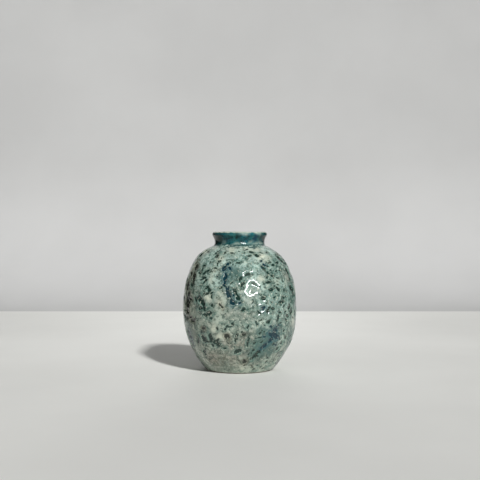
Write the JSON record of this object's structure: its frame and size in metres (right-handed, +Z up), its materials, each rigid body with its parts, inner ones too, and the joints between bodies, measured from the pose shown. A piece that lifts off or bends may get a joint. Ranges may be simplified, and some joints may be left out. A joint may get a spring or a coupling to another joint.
{
  "type": "ceramic vase",
  "caption": "Round-shouldered ovoid stoneware vase with a narrow foot, a short flared neck and a mottled, dimpled celadon glaze; stands free and holds water and flowers.",
  "frame": {"origin": "middle of the foot, on the table", "axes": "+Z up along the vase's axis; +Y away from the viewer, so -Y is the side that the picture shows"},
  "size_m": [0.141, 0.141, 0.17],
  "materials": {
    "stoneware": "bare fired clay, matte and slightly gritty",
    "slip": "fired joining slip, matte",
    "body_glaze": "glossy mottled celadon, cream where thin, green and blue where it pools",
    "neck_glaze": "glossy dark teal with blue, pale where it breaks at the lip",
    "liner_glaze": "glossy pale celadon liner"
  },
  "bodies": {
    "root": {"foot_ring": "stoneware", "foot_slip": "slip", "floor_slab": "stoneware", "floor_slip": "slip", "floor_coil": "stoneware", "body_wall": "stoneware", "neck_slip": "slip", "neck_collar": "stoneware", "body_glaze": "body_glaze", "neck_glaze": "neck_glaze", "liner_glaze": "liner_glaze"}
  },
  "joints": []
}
